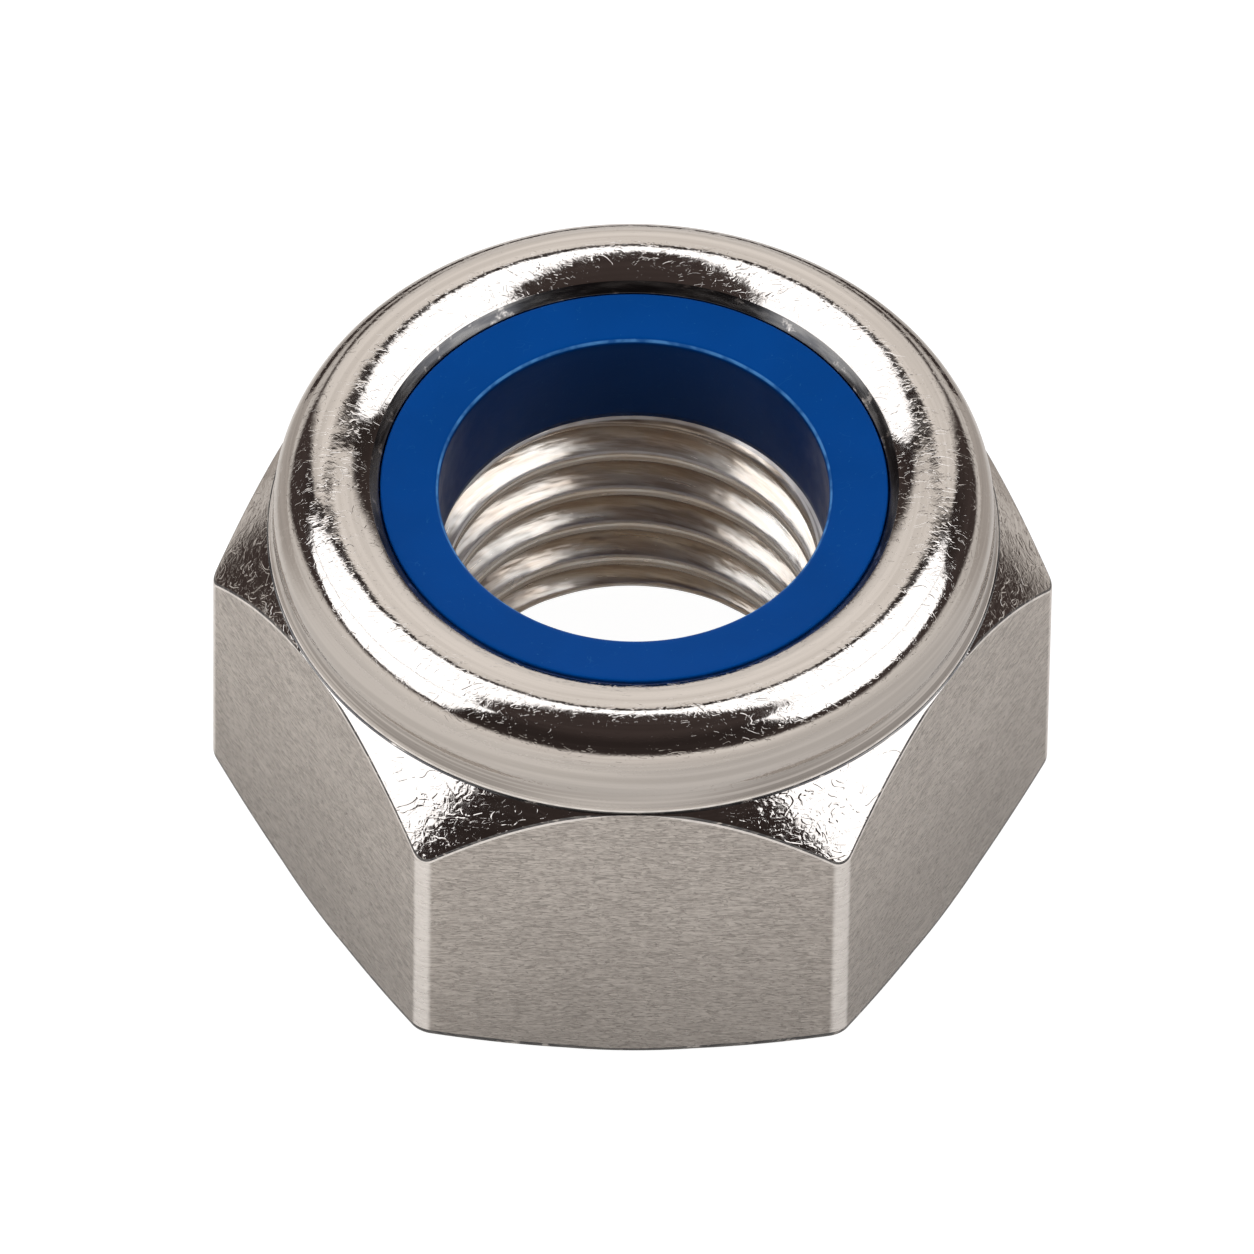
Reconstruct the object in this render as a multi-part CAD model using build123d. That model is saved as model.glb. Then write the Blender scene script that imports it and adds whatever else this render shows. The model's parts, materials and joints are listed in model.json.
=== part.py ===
from build123d import *
import os
from math import asin, cos, degrees, radians, sin, sqrt, tan

# Hexagonal lock nut with a nylon ring held in a crimped collar. Sizes are in millimetres and degrees.
# The origin is the centre of the flat bottom face, +Z runs up the bore, and two corners lie on X.

# Thread: a fine metric one, left here as its plain minor bore
thread_diameter = 10.0
thread_pitch = 1.25
minor_drop_in_pitches = 1.0825

# Hexagon
across_flats = 17.0
upright_edge_radius = 0.5
shoulder_height = 8.6
shoulder_angle = 55.0
bearing_inset = 0.1
bottom_chamfer_angle = 25.0
countersink_depth = 1.55
countersink_angle = 45.0

# Collar: a thin wall that swells, rolls over the ring and ends in a bevelled lip
collar_inset = 0.14
collar_rise = 0.8
collar_wall = 1.0
roll_radius = 1.3
inner_roll_radius = 1.9
neck_radius = 0.88
lip_overhang = 1.45
lip_bevel = 0.22
lip_bevel_angle = 42.0
lip_edge = 0.25
crimp_angle = 27.0

# Ring and the seat it lies in
seat_drop = 1.1
ring_oversize = 0.19
ring_rise = 0.03
ring_dish_angle = 5.0
ring_edge_radius = 0.15
ring_clearance = 0.02
lip_gap = 0.03

# Radii that follow from the sizes above
minor_radius = (thread_diameter - minor_drop_in_pitches * thread_pitch) / 2
flat_radius = across_flats / 2
bulge_radius = flat_radius - collar_inset
crest_radius = bulge_radius - roll_radius
seat_radius = bulge_radius - collar_wall
lip_radius = seat_radius - lip_overhang
ring_bore_radius = minor_radius + ring_oversize

# Heights that follow from the sizes above
seat_height = shoulder_height - seat_drop
roll_height = shoulder_height + collar_rise
crest_height = roll_height + roll_radius
inner_roll_height = crest_height - inner_roll_radius
bevel_radius = lip_radius + lip_bevel
bevel_height = inner_roll_height + sqrt(inner_roll_radius**2 - (crest_radius - bevel_radius) ** 2)
lip_height = bevel_height - lip_bevel * tan(radians(lip_bevel_angle))


def crimp_height(radius):
    """Height of the collar's underside, which slopes down from the lip to the seat wall."""
    return lip_height - lip_edge - (radius - lip_radius) * tan(radians(crimp_angle))


def neck_arc():
    """Hollow at the foot of the collar: one arc that touches both the roll and the shoulder cone."""
    slope = Vector(cos(radians(shoulder_angle)), -sin(radians(shoulder_angle)))
    outward = Vector(sin(radians(shoulder_angle)), cos(radians(shoulder_angle)))
    offset = Vector(flat_radius, shoulder_height) + outward * neck_radius
    to_offset = offset - Vector(crest_radius, roll_height)
    reach = roll_radius + neck_radius
    along = to_offset.dot(slope)
    step = sqrt(along**2 - to_offset.length**2 + reach**2) - along
    centre = offset + slope * step
    roll_angle = degrees(asin((centre.Y - roll_height) / reach))
    cone_angle = 270 - shoulder_angle
    return (centre.X, centre.Y), roll_angle, cone_angle


def steel_section():
    """Half section of the nut, from the bore out past the corners, with X as radius and Y as height."""
    corner_radius = flat_radius / cos(radians(30))
    chamfer_top = (corner_radius - flat_radius + bearing_inset) * tan(radians(bottom_chamfer_angle))
    shoulder_foot = shoulder_height - (corner_radius - flat_radius) * tan(radians(shoulder_angle))
    neck_centre, roll_angle, cone_angle = neck_arc()
    crest_to_bevel = degrees(asin((crest_radius - bevel_radius) / inner_roll_radius))
    with BuildSketch(Plane.XZ) as section:
        with BuildLine():
            neck = CenterArc(
                neck_centre, neck_radius, cone_angle, 180 + roll_angle - cone_angle
            )
            roll = CenterArc((crest_radius, roll_height), roll_radius, roll_angle, 90 - roll_angle)
            inner = CenterArc(
                (crest_radius, inner_roll_height), inner_roll_radius, 90, crest_to_bevel
            )
            Polyline(
                inner @ 1,
                (lip_radius, lip_height),
                (lip_radius, crimp_height(lip_radius)),
                (seat_radius, crimp_height(seat_radius)),
                (seat_radius, seat_height),
                (ring_bore_radius, seat_height),
                (minor_radius, seat_height - ring_oversize),
                (minor_radius, countersink_depth),
                (minor_radius + countersink_depth * tan(radians(countersink_angle)), 0),
                (flat_radius - bearing_inset, 0),
                (corner_radius, chamfer_top),
                (corner_radius, shoulder_foot),
                neck @ 0,
            )
        make_face()
    return section.sketch


def nut_body():
    """Steel nut: the turned section, cut to a hexagon with eased upright edges."""
    outline = RegularPolygon(flat_radius, 6, major_radius=False)
    outline = fillet(outline.vertices(), upright_edge_radius)
    return revolve(steel_section(), Axis.Z) & extrude(outline, crest_height)


def nylon_ring():
    """Ring that fills the seat, slopes in under the crimp and stands up inside the lip."""
    outer = seat_radius - ring_clearance
    face_edge = lip_radius - lip_gap
    face_height = lip_height + ring_rise
    below = ring_clearance / cos(radians(crimp_angle))
    inner_height = face_height - (face_edge - ring_bore_radius) * tan(radians(ring_dish_angle))
    with BuildSketch(Plane.XZ) as section:
        with BuildLine():
            Polyline(
                (ring_bore_radius, seat_height),
                (outer, seat_height),
                (outer, crimp_height(outer) - below),
                (face_edge, crimp_height(face_edge) - below),
                (face_edge, face_height),
                (ring_bore_radius, inner_height),
                close=True,
            )
        make_face()
        inner_edge = section.vertices().sort_by(Axis.X).group_by(Axis.X)[0].sort_by(Axis.Z)[-1]
        fillet(inner_edge, ring_edge_radius)
    return revolve(section.sketch, Axis.Z)


os.makedirs("parts", exist_ok=True)
for name, solid in {"nut_body": nut_body(), "nylon_ring": nylon_ring()}.items():
    export_step(solid, f"parts/{name}.step")
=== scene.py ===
import json
from math import asin, atan, atan2, cos, floor, pi, radians, sin, sqrt, tan

import bmesh
import bpy
from mathutils import Matrix, Vector


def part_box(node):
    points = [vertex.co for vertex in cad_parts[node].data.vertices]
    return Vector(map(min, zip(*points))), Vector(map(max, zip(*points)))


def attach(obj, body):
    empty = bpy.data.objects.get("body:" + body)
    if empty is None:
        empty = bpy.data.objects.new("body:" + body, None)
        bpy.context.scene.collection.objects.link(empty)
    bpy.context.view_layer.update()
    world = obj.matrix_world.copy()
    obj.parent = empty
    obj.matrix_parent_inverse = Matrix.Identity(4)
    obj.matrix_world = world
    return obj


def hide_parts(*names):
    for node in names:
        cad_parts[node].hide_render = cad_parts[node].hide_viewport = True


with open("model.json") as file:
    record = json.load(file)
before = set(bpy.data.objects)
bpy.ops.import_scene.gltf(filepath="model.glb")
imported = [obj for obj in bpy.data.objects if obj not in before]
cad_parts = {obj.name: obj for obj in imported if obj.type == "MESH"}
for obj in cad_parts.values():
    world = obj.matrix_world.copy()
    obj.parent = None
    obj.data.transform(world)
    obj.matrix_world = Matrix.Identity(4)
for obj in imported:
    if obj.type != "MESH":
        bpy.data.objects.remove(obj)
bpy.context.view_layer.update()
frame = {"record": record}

# The object's own sizes, read from the frame. Lengths here are in millimetres until a mesh is made.
MM = 0.001
mounts = {mount["name"]: mount for mount in frame["record"]["mounts"]}
thread = mounts["thread"]
nut_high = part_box("nut_body")[1]
ring_low, ring_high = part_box("nylon_ring")
MINOR_RADIUS = thread["dims"]["r_mm"]
RING_BORE = mounts["ring_bore"]["dims"]["r_mm"]
COUNTERSINK_DEPTH = thread["pos_m"][2] / MM - thread["dims"]["length_mm"] / 2
FLAT_RADIUS = nut_high[1] / MM
TOP_HEIGHT = nut_high[2] / MM
SEAT_HEIGHT = ring_low[2] / MM
RING_RADIUS = ring_high[0] / MM
RING_TOP = ring_high[2] / MM

# Hexagon, as the CAD model has it
UPRIGHT_EDGE = 0.5
SHOULDER_HEIGHT = 8.6
SHOULDER_ANGLE = radians(55)
BEARING_INSET = 0.1
BOTTOM_CHAMFER = radians(25)

# Collar and ring, as the CAD model has them
COLLAR_INSET = 0.14
COLLAR_WALL = 1.0
ROLL_RADIUS = 1.3
INNER_ROLL_RADIUS = 1.9
NECK_RADIUS = 0.88
LIP_OVERHANG = 1.45
LIP_BEVEL = 0.22
LIP_BEVEL_ANGLE = radians(42)
LIP_EDGE = 0.25
CRIMP_ANGLE = radians(27)
LIP_GAP = 0.03
RING_DISH = radians(5)
RING_EDGE = 0.15
RING_CLEARANCE = 0.02

# Small roundings that the render adds to sharp edges, and the fine crease at the collar's foot
SHOULDER_EASE = 0.22
CHAMFER_EASE = 0.18
BEARING_EASE = 0.08
LIP_EASE = 0.035
BRIM_EASE = 0.05
FOOT_LINE = 0.05
CREASE_WIDTH = 0.07
CREASE_DEPTH = 0.05

# Thread: a right-hand metric one
PITCH = 1.25
CREST_FLAT = PITCH / 4
ROOT_FLAT = PITCH / 8
THREAD_DEPTH = 0.5413 * PITCH
CREST_AT_BACK = 7.49
ROWS_PER_TURN = 18
START_TURNS = 1.5
SPARE_TURNS = 2

# Mesh density: columns in each sixth of a turn and round the ring, and rows on each part of the sections
CORNER_COLUMNS = 14
FLAT_COLUMNS = 58
FACE_ROWS = 5
CHAMFER_ROWS = 4
FOOT_ROWS = 4
FLAT_ROWS = 8
BROW_ROWS = 8
# The first rows of the brow edge carry a painted highlight, the rest of it painted shade
BROW_HIGHLIGHT_ROWS = 4
SHOULDER_ROWS = 8
NECK_ROWS = 14
ROLL_ROWS = 34
INNER_ROWS = 18
BEVEL_ROWS = 4
SMALL_ROWS = 3
SEAT_ROWS = 4
RING_COLUMNS = 480
RING_FOOT_ROWS = 4
RING_BRIM_ROWS = 4
RING_TOP_ROWS = 14
RING_RIM_ROWS = 8
RING_BORE_ROWS = 16

# Mesh clean-up: merging distance, the angle from which an edge stays sharp, and the weight of even shading
MERGE = 0.0004
SHARP_ANGLE = radians(18)
NORMAL_WEIGHT = 60

# Radii and heights that follow from the sizes above
bulge_radius = FLAT_RADIUS - COLLAR_INSET
crest_radius = bulge_radius - ROLL_RADIUS
roll_height = TOP_HEIGHT - ROLL_RADIUS
inner_roll_height = TOP_HEIGHT - INNER_ROLL_RADIUS
seat_radius = bulge_radius - COLLAR_WALL
lip_radius = seat_radius - LIP_OVERHANG
bevel_radius = lip_radius + LIP_BEVEL
bevel_height = inner_roll_height + sqrt(INNER_ROLL_RADIUS**2 - (crest_radius - bevel_radius) ** 2)
lip_height = bevel_height - LIP_BEVEL * tan(LIP_BEVEL_ANGLE)

# Camera. The frame is in pixels, the sensor in millimetres, and distance, clipping and aim are in metres.
FRAME_PIXELS = 1254
PIXELS_PER_MM = 43.0
ELEVATION = radians(50.0)
AZIMUTH = radians(-0.6)
ROLL = radians(0.85)
CAMERA_DISTANCE = 0.8
SENSOR_WIDTH = 36
CLIP_NEAR = 0.01
CLIP_FAR = 20
AIM = Vector((0, 0, 5.0)) * MM
AIM_PIXEL = (632.0, 633.2)


def make_camera():
    """Long lens from the photograph's angle, aimed so that AIM falls on AIM_PIXEL without any lens shift."""
    back = Vector((sin(AZIMUTH) * cos(ELEVATION), -cos(AZIMUTH) * cos(ELEVATION), sin(ELEVATION)))
    level = Vector((cos(AZIMUTH), sin(AZIMUTH), 0))
    upright = back.cross(level)
    right = level * cos(ROLL) + upright * sin(ROLL)
    up = upright * cos(ROLL) - level * sin(ROLL)
    across = (FRAME_PIXELS / 2 - AIM_PIXEL[0]) / PIXELS_PER_MM * MM
    above = (AIM_PIXEL[1] - FRAME_PIXELS / 2) / PIXELS_PER_MM * MM
    data = bpy.data.cameras.new("camera")
    data.sensor_width = SENSOR_WIDTH
    data.lens = SENSOR_WIDTH * CAMERA_DISTANCE / (FRAME_PIXELS / PIXELS_PER_MM * MM)
    data.clip_start = CLIP_NEAR
    data.clip_end = CLIP_FAR
    camera = bpy.data.objects.new("camera", data)
    bpy.context.scene.collection.objects.link(camera)
    place = Matrix((right, up, back)).transposed().to_4x4()
    place.translation = AIM + right * across + up * above + back * CAMERA_DISTANCE
    camera.matrix_world = place
    bpy.context.scene.camera = camera


# Section outlines: lists of (radius, height) points
SHORT_SIDE = 0.45


def arc(centre, radius, start, end, steps):
    """Points on an arc, both ends included."""
    turn = (end - start) / steps
    return [
        (centre[0] + radius * cos(start + turn * i), centre[1] + radius * sin(start + turn * i))
        for i in range(steps + 1)
    ]


def eased(before, corner, after, radius, steps):
    """The corner rounded to an arc of the given radius, or to a smaller one that takes up no more than its
    share of a short side."""
    corner = Vector(corner)
    to_before = Vector(before) - corner
    to_after = Vector(after) - corner
    half = to_before.angle(to_after) / 2
    reach = min(radius / tan(half), SHORT_SIDE * to_before.length, SHORT_SIDE * to_after.length)
    to_before.normalize()
    to_after.normalize()
    centre = corner + (to_before + to_after).normalized() * reach / cos(half)
    first = corner + to_before * reach - centre
    last = corner + to_after * reach - centre
    start = atan2(first.y, first.x)
    turn = atan2(first.cross(last), first.dot(last))
    return arc(centre, reach * tan(half), start, start + turn, steps)


def between(start, end, steps):
    """Points strictly between two ends."""
    return [
        (start[0] + (end[0] - start[0]) * i / steps, start[1] + (end[1] - start[1]) * i / steps)
        for i in range(1, steps)
    ]


def crimp_height(radius):
    """Height of the collar's underside above the ring."""
    return lip_height - LIP_EDGE - (radius - lip_radius) * tan(CRIMP_ANGLE)


def neck_arc():
    """Centre and end angles of the hollow between the collar's roll and the shoulder cone."""
    slope = Vector((cos(SHOULDER_ANGLE), -sin(SHOULDER_ANGLE)))
    outward = Vector((sin(SHOULDER_ANGLE), cos(SHOULDER_ANGLE)))
    offset = Vector((FLAT_RADIUS, SHOULDER_HEIGHT)) + outward * NECK_RADIUS
    to_offset = offset - Vector((crest_radius, roll_height))
    reach = ROLL_RADIUS + NECK_RADIUS
    along = to_offset.dot(slope)
    step = sqrt(along**2 - to_offset.length_squared + reach**2) - along
    centre = offset + slope * step
    return centre, asin((centre.y - roll_height) / reach), 1.5 * pi - SHOULDER_ANGLE


def corner_half_angle():
    """Half of the angle at the axis that one rounded edge covers."""
    return pi / 6 - atan((FLAT_RADIUS - UPRIGHT_EDGE) * tan(pi / 6) / FLAT_RADIUS)


def outline_radius(angle):
    """Distance from the axis to the hexagon's outline, with its upright edges rounded. Corners lie on X."""
    from_corner = abs((angle + pi / 6) % (pi / 3) - pi / 6)
    centre = (FLAT_RADIUS - UPRIGHT_EDGE) / cos(pi / 6)
    if from_corner < corner_half_angle():
        return centre * cos(from_corner) + sqrt(UPRIGHT_EDGE**2 - (centre * sin(from_corner)) ** 2)
    return FLAT_RADIUS / cos(pi / 6 - from_corner)


def thread_radius(angle, height):
    """Radius of the threaded wall: crest flats at the minor radius and grooves cut outwards."""
    phase = (height - CREST_AT_BACK) / PITCH - (angle - pi / 2) / (2 * pi)
    from_crest = abs(phase - floor(phase + 0.5)) * PITCH
    flank = (PITCH - CREST_FLAT - ROOT_FLAT) / 2
    depth = min(max((from_crest - CREST_FLAT / 2) / flank, 0), 1)
    return MINOR_RADIUS + THREAD_DEPTH * depth


def bore_radius(angle, height):
    """The thread, opened by the countersink below and the small chamfer above."""
    below = MINOR_RADIUS + COUNTERSINK_DEPTH - height
    above = RING_BORE + height - SEAT_HEIGHT
    return max(thread_radius(angle, height), below, above)


def outer_rows(radius):
    """Section from the countersink, under and round the outside, over the collar and down to the seat.
    Returns (points, material) runs; the radius is the hexagon's at this angle."""
    sink = (MINOR_RADIUS + COUNTERSINK_DEPTH, 0)
    bearing = (FLAT_RADIUS - BEARING_INSET, 0)
    foot = (radius, (radius - bearing[0]) * tan(BOTTOM_CHAMFER))
    brow = (radius, SHOULDER_HEIGHT - (radius - FLAT_RADIUS) * tan(SHOULDER_ANGLE))
    neck_centre, roll_start, neck_end = neck_arc()
    neck_start = neck_end - CREASE_WIDTH / NECK_RADIUS
    crease = arc(neck_centre, NECK_RADIUS, neck_end, neck_start, 1)
    groove = arc(neck_centre, NECK_RADIUS + CREASE_DEPTH, neck_end, neck_start, 2)[1]
    neck = arc(neck_centre, NECK_RADIUS, neck_start, pi + roll_start, NECK_ROWS)
    roll = arc((crest_radius, roll_height), ROLL_RADIUS, roll_start, pi / 2, ROLL_ROWS)
    to_bevel = pi / 2 + asin((crest_radius - bevel_radius) / INNER_ROLL_RADIUS)
    inner = arc((crest_radius, inner_roll_height), INNER_ROLL_RADIUS, pi / 2, to_bevel, INNER_ROWS)
    lip = (lip_radius, lip_height)
    lip_under = (lip_radius, crimp_height(lip_radius))
    bevel = eased(inner[-2], inner[-1], lip, LIP_EASE, BEVEL_ROWS)
    lip_round = eased(inner[-1], lip, lip_under, LIP_EASE, SMALL_ROWS)
    seat_top = (seat_radius, crimp_height(seat_radius))
    seat_foot = (seat_radius, SEAT_HEIGHT)

    bearing_edge = eased(sink, bearing, foot, BEARING_EASE, SMALL_ROWS)
    foot_edge = eased(bearing, foot, brow, CHAMFER_EASE, FOOT_ROWS)
    foot_line = (foot_edge[-1][0], foot_edge[-1][1] + FOOT_LINE)
    brow_edge = eased(foot, brow, crease[0], SHOULDER_EASE, BROW_ROWS)
    return [
        ([sink] + between(sink, bearing_edge[0], FACE_ROWS) + bearing_edge, "face"),
        ([bearing_edge[-1]] + between(bearing_edge[-1], foot_edge[0], CHAMFER_ROWS), "polish"),
        # Painted shade along the rounded foot
        (foot_edge, "lip"),
        ([foot_line] + between(foot_line, brow_edge[0], FLAT_ROWS), "flats"),
        # Painted highlight along the lower rows of the brow edge, then painted shade along its upper rows
        (brow_edge[:BROW_HIGHLIGHT_ROWS], "edge"),
        (brow_edge[BROW_HIGHLIGHT_ROWS:-1], "lip"),
        ([brow_edge[-1]] + between(brow_edge[-1], crease[0], SHOULDER_ROWS), "shoulder"),
        # Painted shade in the crease
        ([crease[0], groove], "lip"),
        # Painted highlight along the line just over the crease
        (neck[:1], "edge"),
        (neck[1:] + roll[1:] + inner[1:-1] + bevel[:-1], "polish"),
        ([bevel[-1]] + between(bevel[-1], lip_round[0], SMALL_ROWS) + lip_round, "lip"),
        ([lip_under] + between(lip_under, seat_top, SMALL_ROWS) + [seat_top, seat_foot], "lip"),
    ]


def column_angles():
    """Angles of the mesh's columns, closer together round each corner, from 0 to a full turn."""
    half = corner_half_angle()
    run = pi / 3 - 2 * half
    angles = []
    for corner in range(6):
        at = corner * pi / 3
        angles += [at - half + 2 * half * i / CORNER_COLUMNS for i in range(CORNER_COLUMNS)]
        angles += [at + half + run * i / FLAT_COLUMNS for i in range(FLAT_COLUMNS)]
    return angles + [2 * pi - half]


def bore_column(angle):
    """Points down the threaded bore. Rows follow the helix, so crests stay crisp all the way round."""
    top = SEAT_HEIGHT
    bottom = COUNTERSINK_DEPTH - THREAD_DEPTH
    turns = (top - bottom) / PITCH
    count = int((turns + SPARE_TURNS) * ROWS_PER_TURN)
    points = []
    for row in range(count + 1):
        climb = (angle / (2 * pi) - 1 - row / ROWS_PER_TURN) * PITCH
        height = min(max(top + START_TURNS * PITCH + climb, bottom), top)
        points.append((bore_radius(angle, height), height))
    return points


def mesh_from_columns(name, columns, angles, marks, materials):
    """Closed mesh through columns of (radius, height) points; marks gives each row's material."""
    vertices = []
    for angle, column in zip(angles, columns):
        vertices += [(r * cos(angle) * MM, r * sin(angle) * MM, z * MM) for r, z in column]
    rows = len(columns[0])
    faces = []
    kinds = []
    for j in range(len(columns) - 1):
        for i in range(rows):
            k = (i + 1) % rows
            faces.append((j * rows + i, (j + 1) * rows + i, (j + 1) * rows + k, j * rows + k))
            kinds.append(marks[i])
    mesh = bpy.data.meshes.new(name)
    mesh.from_pydata(vertices, [], faces)
    for material in materials:
        mesh.materials.append(material)
    mesh.polygons.foreach_set("material_index", kinds)
    work = bmesh.new()
    work.from_mesh(mesh)
    bmesh.ops.remove_doubles(work, verts=work.verts, dist=MERGE * MM)
    bmesh.ops.dissolve_degenerate(work, dist=MERGE * MM, edges=work.edges)
    bmesh.ops.recalc_face_normals(work, faces=work.faces)
    for face in work.faces:
        face.smooth = True
    for edge in work.edges:
        sides = [face.material_index for face in edge.link_faces]
        edge.smooth = len(set(sides)) == 1 or edge.calc_face_angle(0) < SHARP_ANGLE
    work.to_mesh(mesh)
    work.free()
    piece = bpy.data.objects.new(name, mesh)
    bpy.context.scene.collection.objects.link(piece)
    shade = piece.modifiers.new("even_normals", "WEIGHTED_NORMAL")
    shade.keep_sharp = True
    shade.weight = NORMAL_WEIGHT
    return piece


def make_nut(materials):
    """Steel nut with its eased edges and helical thread, as one closed mesh."""
    keys = list(materials)
    angles = column_angles()
    columns = []
    for angle in angles:
        column = []
        marks = []
        for points, key in outer_rows(outline_radius(angle)):
            column += points
            marks += [keys.index(key)] * len(points)
        bore = bore_column(angle)
        seat = between((seat_radius, SEAT_HEIGHT), bore[0], SEAT_ROWS)
        column += seat + bore
        marks += [keys.index("lip")] * len(seat) + [keys.index("thread")] * len(bore)
        columns.append(column)
    return mesh_from_columns("nut_steel", columns, angles, marks, list(materials.values()))


def make_ring(material):
    """Nylon ring: flat under, sloped in under the crimp, standing up inside the lip with a dished top."""
    face_edge = lip_radius - LIP_GAP
    below = RING_CLEARANCE / cos(CRIMP_ANGLE)
    foot_in = (RING_BORE, SEAT_HEIGHT)
    foot_out = (RING_RADIUS, SEAT_HEIGHT)
    shoulder = (RING_RADIUS, crimp_height(RING_RADIUS) - below)
    step = (face_edge, crimp_height(face_edge) - below)
    inner_top = (RING_BORE, RING_TOP - (face_edge - RING_BORE) * tan(RING_DISH))
    brim = eased(step, (face_edge, RING_TOP), inner_top, BRIM_EASE, RING_BRIM_ROWS)
    rim = eased((face_edge, RING_TOP), inner_top, foot_in, RING_EDGE, RING_RIM_ROWS)
    section = [foot_in] + between(foot_in, foot_out, RING_FOOT_ROWS) + [foot_out, shoulder, step]
    section += between(step, brim[0], SMALL_ROWS) + brim
    section += between(brim[-1], rim[0], RING_TOP_ROWS) + rim
    section += between(rim[-1], foot_in, RING_BORE_ROWS)
    angles = [2 * pi * i / RING_COLUMNS for i in range(RING_COLUMNS + 1)]
    columns = [section] * len(angles)
    return mesh_from_columns("insert_ring", columns, angles, [0] * len(section), [material])


# Materials. Colours are linear red, green, blue and alpha.
STEEL_LIGHT = (0.745, 0.70, 0.655, 1)
STEEL_DARK = (0.475, 0.438, 0.407, 1)
# Pale worn steel, for worn nicks and for painted highlights on the edges
STEEL_WORN_AND_HIGHLIGHT = (1.0, 0.965, 0.93, 1)
# Painted highlight on the brow edge and over the crease
STEEL_HIGHLIGHT = (0.82, 0.79, 0.76, 1)
# Dark steel, for dark marks and for painted shade
STEEL_MARKS_AND_SHADE = (0.2, 0.18, 0.165, 1)
POLISH_DARK = (0.575, 0.54, 0.506, 1)
POLISH_LIGHT = (0.675, 0.637, 0.60, 1)
# Dark gunmetal, used as painted shade on the lip, in the crease, along the foot and along the brow
GUNMETAL_DARK = (0.09, 0.09, 0.095, 1)
GUNMETAL_LIGHT = (0.20, 0.195, 0.19, 1)
THREAD_WARM = (0.93, 0.81, 0.68, 1)
THREAD_PALE = (1.0, 0.95, 0.87, 1)
THREAD_LINE = (0.46, 0.34, 0.24, 1)
# Painted shade in the grooves and under the crests
THREAD_SHADE_BROWN = (0.22, 0.15, 0.095, 1)
# Painted highlight along the crests
THREAD_HIGHLIGHT = (1.0, 0.97, 0.93, 1)
NYLON_DEEP = (0.0002, 0.053, 0.258, 1)
NYLON_CLEAR = (0.0003, 0.059, 0.288, 1)
# Painted shade on the bore
NYLON_BORE_SHADE = (0.0001, 0.004, 0.016, 1)
NYLON_WORN = (0.03, 0.15, 0.40, 1)
# Painted highlight on the inner rim
NYLON_RIM_HIGHLIGHT = (0.10, 0.32, 0.70, 1)
NYLON_GLARE = (0.015, 0.32, 0.95, 1)
NYLON_IOR = 1.53
NYLON_SPECULAR = 0.13

# Noise patterns: cells per millimetre level and upright, then detail, roughness and distortion
FLAT_GRAIN = (2.0, 11, 3, 0.6, 0.9)
FINE_GRAIN = (6, 24, 2, 0.5, 0.4)
FLAT_CLOUD = (0.35, 0.6, 2, 0.5, 0)
FLAT_WAVES = (1.6, 8.5, 1.5, 0.5, 1.2)
DENTS = (1.1, 1.1, 2, 0.5, 0)
RIPPLE = (4, 4, 1, 0.5, 0.6)
# Patches that vary the painted highlight on the brow edge
EDGE_HIGHLIGHT_PATCHES = (3, 3, 2, 0.5, 0)
NYLON_CLOUD = (0.4, 0.4, 2, 0.5, 0)
NYLON_SHEEN = (2.2, 2.2, 2, 0.5, 0)
NYLON_SPECKS = (11, 11, 1, 0.5, 0)

# Turned patterns, drawn out round the axis: cells per millimetre around and along the section, then detail
# and roughness
TURNING = (0.12, 6, 2, 0.5)
COLLAR_STREAKS = (0.07, 8, 2, 0.5)
LIP_LINES = (0.6, 12, 3, 0.6)
LIP_SPECKS = (2.4, 9, 3, 0.6)
THREAD_LINES = (0.5, 12, 4, 0.65)
THREAD_PATCHES = (0.8, 4.0, 2, 0.5)
FACE_LINES = (0.12, 7, 3, 0.6)
SECTION_SLANT = 0.7

# Scratches: cells per millimetre, width, spread and stretch along X. A scratch is a thin level line of one
# noise, kept where a second noise is high; a larger spread keeps more of them.
SCRATCH_FIELD = (1.0, 0.5, 1.2)
SCRATCH_PATCH = (1.0, 0.5, 0.4)
PATCH_SCALE = 1.7
PATCH_FROM = 0.56
PATCH_FULL = 0.6
FLAT_NICKS = (1.2, 0.012, -0.02, 1.0)
NYLON_MARKS = (1.6, 0.010, -0.03, 1.0)

# Marks on the polished parts: coarse and thin scratches, and small waves in a noise pattern
COLLAR_MARKS = {
    "coarse": (2.4, 0.028, 0.045, 2.5), "coarse depth": 0.0015,
    "thin": (4.4, 0.036, 0.045, 2.0),
    "squiggles": (6.5, 6.5, 1.5, 0.5, 1.6), "squiggle depth": 0.0011,
}
SHOULDER_MARKS = {
    "coarse": (1.7, 0.045, 0.07, 1.6), "coarse depth": 0.0034,
    "thin": (4.4, 0.036, 0.085, 2.0),
    "squiggles": (4.2, 4.2, 1.5, 0.5, 1.6), "squiggle depth": 0.0042,
}

# Depths of relief, in millimetres
GRAIN_DEPTH = 0.036
WAVE_DEPTH = 0.004
DENT_DEPTH = 0.009
RIPPLE_DEPTH = 0.0009
TURNING_DEPTH = 0.0004
THIN_DEPTH = 0.0008
EDGE_DEPTH = 0.01
LIP_DEPTH = 0.004
THREAD_DENT_DEPTH = 0.04
THREAD_LINE_DEPTH = 0.008
FACE_DEPTH = 0.006
SHEEN_DEPTH = 0.003
SPECK_DEPTH = 0.0012

# Roughness: smoothest and roughest
FLAT_ROUGH = (0.26, 0.42)
POLISH_ROUGH = (0.05, 0.09)
EDGE_ROUGH = (0.3, 0.42)
LIP_ROUGH = (0.16, 0.28)
THREAD_ROUGH = (0.17, 0.28)
FACE_ROUGH = (0.2, 0.34)
NYLON_ROUGH = (0.28, 0.36)

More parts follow.
